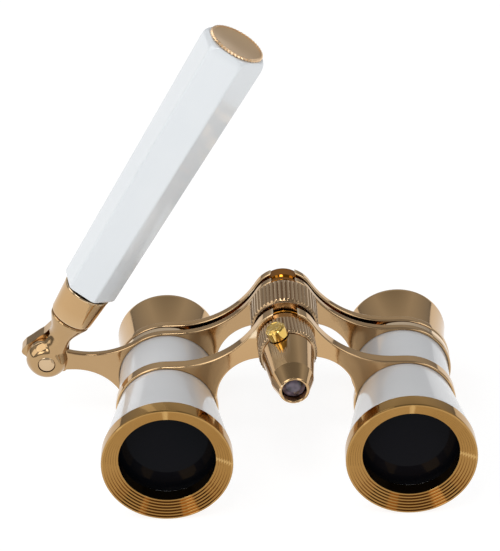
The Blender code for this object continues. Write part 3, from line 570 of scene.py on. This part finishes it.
def eyecup_profile():
    """Waisted outside with a bead at the bridge, rolled rim, and the funnel down to the eye lens."""
    outside = []
    for i in range(25):
        t = i / 24
        radius = EYECUP_NECK_R + (EYECUP_R - EYECUP_NECK_R) * (0.45 * t + 0.55 * t ** 2.2)
        outside.append((radius, EYECUP_START + 0.35 + (EYECUP_END - 0.9 - EYECUP_START) * t))
    rim = [(EYECUP_R - 0.1, EYECUP_END - 0.2), (EYECUP_R - 0.5, EYECUP_END), (EYECUP_RIM_R, EYECUP_END)]
    inside = [(EYE_APERTURE_R, EYE_FUNNEL), (EYE_APERTURE_R, EYE_SEAT), (EYE_POCKET_R, EYE_SEAT),
              (EYE_POCKET_R, EYE_POCKET), (EYE_BORE_R, EYE_POCKET), (EYE_BORE_R, EYECUP_START),
              (EYECUP_NECK_R - 0.25, EYECUP_START)]
    return outside + rim + inside


def dome(radius, start, end, front, rear, count=14):
    """A lens: (positive) bulges or (negative) dishes on both faces, and a flat edge."""
    front_face = [(radius * i / count, start - front * (1 - (i / count) ** 2)) for i in range(count + 1)]
    rear_face = [(radius * i / count, end + rear * (1 - (i / count) ** 2)) for i in range(count, -1, -1)]
    return front_face + rear_face


def make_optics():
    for side, x in (("left", -BARREL_X), ("right", BARREL_X)):
        at = along_y(x, 0)
        show(lathe(side + "_barrel_shell", barrel_profile(), at, LACQUER, 160), "frame",
             "white_lacquer", side + "_barrel")
        show(lathe(side + "_bezel_ring", bezel_profile(), at, SHADED_BEZEL_GOLD, 192, angle=24), "frame",
             "gold", side + "_objective_bezel")
        show(lathe(side + "_front_lens", dome(SKIRT_R, *OBJECTIVE_LENS), at, OBJECTIVE_GLASS, 128),
             "frame", "objective_glass", side + "_objective_lens")
        show(lathe(side + "_eyecup_shell", eyecup_profile(), at, GOLD, 160), "eyepieces",
             "gold", side + "_eyecup")
        show(lathe(side + "_rear_lens", dome(EYE_LENS_R, *EYE_LENS), at, EYE_GLASS, 96),
             "eyepieces", "eye_glass", side + "_eye_lens")


# ---- focus wheel ----------------------------------------------------------------------------------
def make_focus():
    at = along_y(0, FOCUS_Z)
    chamfer = 0.75
    front = WHEEL_START + 0.55
    wheel = [
        (NUT_OUT, WHEEL_START), (FLANGE_R, WHEEL_START), (FLANGE_R, front),
        (FLANGE_R + chamfer * 0.3, front + 0.18), (WHEEL_R - chamfer * 0.33, front + 0.36),
        (WHEEL_R, front + 0.6),
        (WHEEL_R, (WHEEL_START + WHEEL_END) / 2), (WHEEL_R, WHEEL_END - 0.6),
        (WHEEL_R - chamfer * 0.33, WHEEL_END - 0.36), (WHEEL_R - chamfer * 0.66, WHEEL_END - 0.16),
        (WHEEL_R - chamfer, WHEEL_END), (NUT_OUT, WHEEL_END),
    ]
    shape = ridge(WHEEL_RIDGES, WHEEL_DEPTH, WHEEL_R)
    show(lathe("focus_wheel_rim", wheel, at, RIDGED_GOLD, WHEEL_RIDGES * 8, shape, 26), "focus_wheel",
         "gold", "focus_wheel")
    nut = soften([(HUB_R, NUT_START), (HUB_R, NUT_END), (SCREW_HOLE_R, NUT_END),
                  (SCREW_HOLE_R, NUT_START)], 0.35, True)
    show(lathe("focus_nut_sleeve", nut, at, BRASS_PAINTED_ORANGE, 96), "focus_wheel", "bright_brass", "focus_nut")
    waist = [(0, HUB_END), (5.2, HUB_END), (HUB_R, HUB_END - 0.8), (HUB_R, HUB_START + 2.4),
             (5.5, HUB_START + 1.9), (5.5, HUB_START + 0.7), (HUB_R, HUB_START + 0.25), (5.8, HUB_START),
             (SCREW_HOLE_R, HUB_START), (SCREW_HOLE_R, HUB_END - 2.2), (0, HUB_END - 2.2)]
    show(lathe("focus_hub_cap", soften(waist, 0.2), at, BRASS_PAINTED_ORANGE, 96), "eyepieces", "bright_brass",
         "focus_hub")


# ---- lamp -----------------------------------------------------------------------------------------
def lamp_frame():
    """The lamp's axis passes through the front bridge's middle and leans to the right at its tip."""
    pivot = world(0, FRONT_BRIDGE[0], FOCUS_Z)
    yaw = Matrix.Rotation(math.radians(LAMP_YAW), 4, "Z")
    return Matrix.Translation(pivot) @ yaw @ Matrix.Translation(-pivot)


def make_lamp():
    at = lamp_frame() @ along_y(0, FOCUS_Z)
    seat = button_frame(at)
    nose = [
        (3.45, LAMP_TIP), (3.8, LAMP_TIP + 0.25), (5.35, LAMP_KINK), (6.7, LAMP_SHOULDER - 0.15),
        (6.6, LAMP_SHOULDER), (LAMP_BORE_R, LAMP_SHOULDER), (LAMP_BORE_R, 9.6), (3.1, 7.6),
        (3.1, LAMP_TIP + 0.2),
    ]
    shell = lathe("lamp_nose_shell", soften(nose, 0.12, True), at, GOLD, 128, angle=20)
    base = [(0, 28.3), (6.0, 28.3), (6.0, LAMP_RING_END), (LAMP_BORE_R, LAMP_RING_END),
            (LAMP_BORE_R, 27.5), (0, 27.5)]
    show(lathe("lamp_base_plug", soften(base, 0.3), at, GOLD, 96), "frame", "gold", "lamp_base")
    chamfer = 0.6
    front, back = LAMP_SHOULDER + 0.12, LAMP_RING_END - 0.12
    ring = [
        (LAMP_BORE_R, front), (LAMP_R - chamfer, front), (LAMP_R - chamfer * 0.6, front + 0.18),
        (LAMP_R - chamfer * 0.3, front + 0.36), (LAMP_R, front + 0.6), (LAMP_R, back - 0.5),
        (LAMP_R - chamfer * 0.5, back - 0.2), (LAMP_R - chamfer, back), (LAMP_BORE_R, back),
    ]
    shape = ridge(LAMP_RIDGES, LAMP_DEPTH, LAMP_R)
    knurl = lathe("lamp_knurled_ring", ring, at, RIDGED_GOLD, LAMP_RIDGES * 8, shape, 26)
    well_top = 12
    well = lathe("button_well", [(0, WELL_FLOOR), (WELL_R, WELL_FLOOR), (WELL_R, well_top), (0, well_top)],
                 seat, GOLD, 64)
    for piece in (shell, knurl):
        cut(piece, well)
    bpy.data.objects.remove(well)
    show(shell, "frame", "gold", "lamp_nose")
    show(knurl, "frame", "gold", "lamp_battery_ring")
    show(lathe("lamp_window", dome(LAMP_WINDOW_R, *LAMP_WINDOW), at, EPOXY, 64), "frame", "led_epoxy",
         "lamp_lens")
    led = [(2.5 * math.sin(math.radians(a)), 6.8 - 2.4 * math.cos(math.radians(a)))
           for a in range(0, 91, 9)]
    led += [(2.5, 9.8), (2.9, 9.8), (2.9, 10.8), (0, 10.8)]
    show(lathe("lamp_diode", led, at, EPOXY, 64), "frame", "led_epoxy", "lamp_led")
    make_button(seat)


def cut(piece, tool):
    """Cut a tool out of a turned piece and shade its new edges as its old ones."""
    boolean = piece.modifiers.new("cut", "BOOLEAN")
    boolean.operation = "DIFFERENCE"
    boolean.solver = "EXACT"
    boolean.object = tool
    piece.modifiers.move(len(piece.modifiers) - 1, 0)
    weighted = [m for m in piece.modifiers if m.type == "WEIGHTED_NORMAL"]
    for modifier in weighted:
        piece.modifiers.remove(modifier)
    bpy.context.view_layer.update()
    mesh = bpy.data.meshes.new_from_object(piece.evaluated_get(bpy.context.evaluated_depsgraph_get()))
    piece.modifiers.clear()
    piece.data = mesh
    mesh.shade_smooth()
    mesh.set_sharp_from_angle(angle=math.radians(26))
    even_normals(piece)


def button_frame(at):
    """The button stands square to its travel, on the seam between the lamp's nose and ring."""
    centre = at @ Vector((0, 0, BUTTON_Y))
    turn = BUTTON_AXIS.to_track_quat("Z", "Y").to_matrix().to_4x4()
    return Matrix.Translation(centre) @ turn @ Matrix.Scale(MM, 4)


def make_button(seat):
    """Two tiers: a wide flange with a rounded edge and a dished crown inside a raised lip."""
    profile = [
        (0, 9.66), (1.45, 9.66), (1.6, 9.78), (1.95, 9.78), (2.05, 9.3), (2.3, 9.25), (2.6, 8.95),
        (2.6, 6.6), (2.5, 6.5), (0.9, 6.5), (0.9, 5.0), (0, 5.0),
    ]
    show(lathe("lamp_button_cap", soften(profile, 0.1), seat, BRASS, 72), "lamp_button", "bright_brass",
         "lamp_button")


# ---- handle ---------------------------------------------------------------------------------------
def handle_frame():
    """Own z along the handle and own y along the glasses' y."""
    side = Vector((0, 1, 0)).cross(HANDLE)
    turn = Matrix((side, Vector((0, 1, 0)), HANDLE)).transposed().to_4x4()
    return Matrix.Translation(world(*HINGE)) @ turn @ Matrix.Scale(MM, 4)


def loft(name, rings, matrix, material, angle=38):
    work = bmesh.new()
    loops = [[work.verts.new(matrix @ Vector(point)) for point in ring] for ring in rings]
    count = len(loops[0])
    for lower, upper in zip(loops, loops[1:]):
        for i in range(count):
            work.faces.new((lower[i], lower[(i + 1) % count], upper[(i + 1) % count], upper[i]))
    work.faces.new(loops[0][::-1])
    work.faces.new(loops[-1])
    return finish_mesh(name, work, material, angle)


def ellipse(half_x, half_y, z, count=72):
    turns = [2 * math.pi * i / count for i in range(count)]
    return [(half_x * math.cos(a), half_y * math.sin(a), z) for a in turns]


def join_solid(piece, other, operation):
    boolean = piece.modifiers.new(other.name, "BOOLEAN")
    boolean.operation = operation
    boolean.solver = "EXACT"
    boolean.object = other


def settle(piece):
    """Apply a piece's modifiers and remove the tools they used."""
    bpy.context.view_layer.update()
    tools = [m.object for m in piece.modifiers if m.type == "BOOLEAN"]
    mesh = bpy.data.meshes.new_from_object(piece.evaluated_get(bpy.context.evaluated_depsgraph_get()))
    piece.modifiers.clear()
    piece.data = mesh
    for tool in tools:
        bpy.data.objects.remove(tool)


def plain_lathe(name, profile, matrix, segments=72):
    piece = lathe(name, profile, matrix, GOLD, segments)
    piece.modifiers.clear()
    return piece


def cast(piece, rounds):
    """Round every edge and fill every inner corner, more with more rounds."""
    remesh = piece.modifiers.new("cast", "REMESH")
    remesh.mode = "VOXEL"
    remesh.voxel_size = CAST_VOXEL * MM
    smooth = piece.modifiers.new("polish", "SMOOTH")
    smooth.factor = 0.5
    smooth.iterations = rounds
    settle(piece)


def spade_outline():
    """The rear cheek: narrow at the neck, widest low down, with a nearly flat bottom edge."""
    corner = arc(SPADE_CORNER, SPADE_CORNER_R, 285, 370, 5)
    right = corner + list(SPADE_SIDE)
    end_x, end_z = corner[0]
    bottom = [(end_x * t, SPADE_BOTTOM + (end_z - SPADE_BOTTOM) * t * t) for t in (-0.6, -0.2, 0.2, 0.6)]
    return right + [(-x, z) for x, z in right[::-1]] + bottom


def make_fork(at):
    """A cast knuckle: a ball cheek before the ear, a spade cheek behind it, and a neck above them."""
    across = at @ Matrix.Rotation(math.radians(-90), 4, "X")
    ball = [(0, FORK_FRONT), (BALL_FLAT_R, FORK_FRONT)]
    ball += arc((0, 0), BALL_R, BALL_EDGE, 0, 16) + [(BALL_R, 0.5), (0, 0.5)]
    fork = plain_lathe("handle_fork_knuckle", ball, across, 96)
    join_solid(fork, loft("fork_neck", [ellipse(x, y, z) for z, x, y in NECK], at, GOLD), "UNION")
    settle(fork)
    cast(fork, NECK_ROUNDS)
    spade = [[(x, y, z) for x, z in spade_outline()] for y in (0.0, FORK_REAR)]
    join_solid(fork, loft("fork_spade", spade, at, GOLD), "UNION")
    settle(fork)
    cast(fork, SPADE_ROUNDS)
    corners = ((-9, SLOT_FRONT), (9, SLOT_FRONT), (9, SLOT_REAR), (-9, SLOT_REAR))
    slot = loft("fork_slot", [[(x, y, z) for x, y in corners] for z in (-9, SLOT_END)], at, GOLD)
    pin_hole = plain_lathe("fork_pin_hole", [(0, -9), (PIN_HOLE_R, -9), (PIN_HOLE_R, 9), (0, 9)], across)
    join_solid(fork, slot, "DIFFERENCE")
    join_solid(fork, pin_hole, "DIFFERENCE")
    settle(fork)
    fork.data.materials.clear()
    fork.data.materials.append(KNUCKLE_GOLD)
    fork.data.shade_smooth()
    fork.data.set_sharp_from_angle(angle=math.radians(40))
    show(even_normals(fork), "handle_arm", "gold", "handle_fork")
    front, rear = FORK_FRONT + 0.08, FORK_REAR - 0.1
    pin = [(0, front), (PIN_R - 0.2, front), (PIN_R, front + 0.15), (PIN_R, rear - 0.1),
           (PIN_R - 0.1, rear), (0, rear)]
    show(lathe("hinge_pin_rivet", pin, across, SHADE_PAINTED_GOLD, 72), "handle_arm", "gold", "hinge_pin")


def hexagon(radius, z, corner, round_share, turn, count=9):
    """A ring of the hexagonal grip: rounded corners, drawn towards a circle by round_share."""
    points = []
    inset = corner / math.cos(math.radians(30))
    for side in range(6):
        middle_angle = math.radians(turn + 60 * side)
        centre = ((radius - inset) * math.cos(middle_angle), (radius - inset) * math.sin(middle_angle))
        for i in range(count):
            angle = middle_angle + math.radians(-30 + 60 * i / (count - 1))
            x, y = centre[0] + corner * math.cos(angle), centre[1] + corner * math.sin(angle)
            flat = math.radians(turn + 60 * side - 30 + 60 * i / (count - 1))
            circle_r = radius * 0.93
            x += (circle_r * math.cos(flat) - x) * round_share
            y += (circle_r * math.sin(flat) - y) * round_share
            points.append((x, y, z))
    return points


def grip_radius(z):
    return GRIP_START_R + (GRIP_END_R - GRIP_START_R) * (z - GRIP_START) / (GRIP_END - GRIP_START)


def make_handle(at):
    sleeve = [(5.3, 14.2), (5.62, 14.35), (5.78, 14.75), (6.32, 22.9), (6.4, 23.25), (6.3, 23.5),
              (6.0, 23.6), (3.9, 23.6), (3.9, 14.2)]
    show(lathe("handle_collar_sleeve", sleeve, at, GOLD, 128), "handle_arm", "gold", "handle_collar")
    stem = [(0, 11.5), (2.6, 11.5), (2.6, 14.2), (3.6, 14.3), (3.6, 77.7), (3.3, 78.0), (0, 78.0)]
    show(lathe("handle_inner_tube", stem, at, STEEL, 72), "handle_arm", "steel", "handle_stem")
    low, top = GRIP_START, GRIP_END
    # Each ring: its height, how far it is drawn in, and its share of a circle.
    stations = ((low, 0.95, 0.3), (low + 0.12, 0.55, 0.2), (low + 0.4, 0.2, 0.1), (low + 0.9, 0.0, 0.0),
                (top - 2.6, 0.0, 0.0), (top - 1.7, 0.06, 0.04), (top - 1.0, 0.2, 0.12),
                (top - 0.5, 0.42, 0.26), (top - 0.15, 0.72, 0.45), (top, 1.05, 0.6))
    rings = [hexagon(grip_radius(z) - inset, z, GRIP_CORNER, share, GRIP_TURN)
             for z, inset, share in stations]
    grip = loft("handle_grip_shell", rings, at, GRIP_WHITE, 50)
    bore = [(0, 20), (GRIP_BORE_R, 20), (GRIP_BORE_R, 108), (0, 108)]
    join_solid(grip, plain_lathe("grip_bore", bore, at), "DIFFERENCE")
    settle(grip)
    grip.data.materials.clear()
    grip.data.materials.append(GRIP_WHITE)
    grip.data.set_sharp_from_angle(angle=math.radians(50))
    show(even_normals(grip), "grip", "white_grip", "handle_grip")
    make_end_cap(at)


def make_end_cap(at):
    """A disc with a coin-milled bead round it and a plug that holds it in the grip."""
    bead = [(0, 104.6), (6.5, 104.6), (6.65, 104.66), (6.8, 104.8), (7.0, 104.84), (7.2, 104.76),
            (7.34, 104.56), (7.38, 104.33), (7.3, 104.12), (5.3, 104.12), (5.3, 97.0), (0, 97.0)]

    def milled(radius, turn):
        if radius < CAP_MILLED_R:
            return radius
        phase = abs(((turn * CAP_TEETH) % 1.0) - 0.5) * 2
        return radius - CAP_TOOTH_DEPTH * (1 - phase)

    show(lathe("handle_cap_disc", bead, at, SATIN_GOLD, CAP_TEETH * 8, milled, 24), "grip", "gold",
         "handle_end_cap")


# ---- nodes that keep their CAD shape --------------------------------------------------------------
def finish_kept_nodes():
    """Inner parts that are shown as packed, with a finish of their own."""
    kept = {
        "left_eyepiece_tube": BLACK, "right_eyepiece_tube": BLACK,
        "left_eye_lens_ring": BLACK, "right_eye_lens_ring": BLACK,
        "focus_screw": STEEL, "stem_stop": STEEL, "grip_slide_bush": NYLON,
        "lamp_contact_plate": BOARD, "lamp_battery_spring": STEEL,
        "lamp_cell_1": STEEL, "lamp_cell_2": STEEL, "lamp_cell_3": STEEL,
    }
    for node, material in kept.items():
        mesh = frame["nodes"][node].data
        mesh.materials.clear()
        mesh.materials.append(material)


# ---- stage ----------------------------------------------------------------------------------------
def make_floor():
    """A pale table that touches the bezels and the eyecups' rims, so it slopes a little.

    It gives off light of its own, so that the background comes out white."""
    slope = math.atan2(BEZEL_R - EYECUP_R, EYECUP_END - BEZEL_START)
    work = bmesh.new()
    bmesh.ops.create_grid(work, x_segments=1, y_segments=1, size=TABLE_HALF)
    made = Nodes("pale_table")
    made.set(Roughness=0.9, Emission_Color=(1.0, 1.0, 1.0, 1.0), Emission_Strength=0.84)
    made.link(made.ramp(made.noise(3.0), ((0.3, (0.24, 0.24, 0.24)), (0.7, (0.26, 0.26, 0.26)))),
              made.shader.inputs["Base Color"])
    floor = finish_mesh("table", work, made.material)
    floor.location = world(0, BEZEL_START, -BEZEL_R - 0.05)
    floor.rotation_euler = (slope, 0, 0)


def make_world():
    """A dim room above a bright table: the metal mirrors both."""
    scene_world = bpy.data.worlds.new("studio")
    scene_world.use_nodes = True
    bpy.context.scene.world = scene_world
    nodes, links = scene_world.node_tree.nodes, scene_world.node_tree.links
    place = nodes.new("ShaderNodeTexCoord")
    split = nodes.new("ShaderNodeSeparateXYZ")
    ramp = nodes.new("ShaderNodeValToRGB")
    height = nodes.new("ShaderNodeMapRange")
    height.inputs["From Min"].default_value = -1.0
    links.new(place.outputs["Generated"], split.inputs["Vector"])
    links.new(split.outputs["Z"], height.inputs["Value"])
    links.new(height.outputs["Result"], ramp.inputs["Fac"])
    # From straight down at 0 to straight up at 1: the place and its brightness.
    stops = ((0.0, 0.9), (0.495, 0.8), (0.505, 0.16), (0.56, 0.34), (0.77, 0.52), (0.9, 0.26), (1.0, 0.2))
    elements = ramp.color_ramp.elements
    while len(elements) < len(stops):
        elements.new(0.5)
    for element, (spot, value) in zip(elements, stops):
        element.position = spot
        element.color = (value, value, value * 1.01, 1.0)
    links.new(ramp.outputs["Color"], nodes["Background"].inputs["Color"])
    nodes["Background"].inputs["Strength"].default_value = 1.0


def make_light(name, direction, size, radiance, shape="SQUARE"):
    """A square or round soft box; its power follows from its size and how bright it looks."""
    target = world(*LIGHT_TARGET)
    data = bpy.data.lights.new(name, "AREA")
    data.shape = shape
    data.size = size
    area = size * size * (math.pi / 4 if shape == "DISK" else 1.0)
    data.energy = radiance * math.pi * area
    light = bpy.data.objects.new(name, data)
    light.location = target + Vector(direction).normalized() * LIGHT_DISTANCE
    light.rotation_euler = (target - light.location).to_track_quat("-Z", "Y").to_euler()
    bpy.context.scene.collection.objects.link(light)


def make_lights():
    make_light("side_left", (-1.0, -0.15, 0.35), 0.50, 1.2)
    make_light("side_right", (0.78, -0.02, 0.62), 0.50, 1.9, "DISK")
    make_light("front_left", (-0.50, -0.74, 0.49), 0.46, 2.2)
    make_light("front_right", (0.50, -0.74, 0.48), 0.34, 1.5)
    make_light("overhead", (-0.55, -0.12, 0.82), 0.80, 1.6, "DISK")
    make_light("key", (-0.06, -0.42, 0.90), 0.20, 9.0, "DISK")


def make_camera():
    azimuth, elevation = math.radians(CAMERA_AZIMUTH), math.radians(CAMERA_ELEVATION)
    back = Vector((math.sin(azimuth) * math.cos(elevation), -math.cos(azimuth) * math.cos(elevation),
                   math.sin(elevation)))
    data = bpy.data.cameras.new("camera")
    data.lens = CAMERA_LENS
    data.sensor_width = SENSOR
    data.clip_start, data.clip_end = 0.05, 20.0
    camera = bpy.data.objects.new("camera", data)
    camera.location = world(*CAMERA_TARGET) + back * CAMERA_DISTANCE * MM
    turn = back.to_track_quat("Z", "Y").to_matrix() @ Matrix.Rotation(math.radians(-CAMERA_ROLL), 3, "Z")
    camera.rotation_euler = turn.to_euler()
    bpy.context.scene.collection.objects.link(camera)
    bpy.context.scene.camera = camera


make_camera()
make_bridges()
make_optics()
make_focus()
make_lamp()
handle_at = handle_frame()
make_fork(handle_at)
make_handle(handle_at)
finish_kept_nodes()
make_floor()
make_world()
make_lights()
bpy.context.scene.view_settings.view_transform = "Standard"
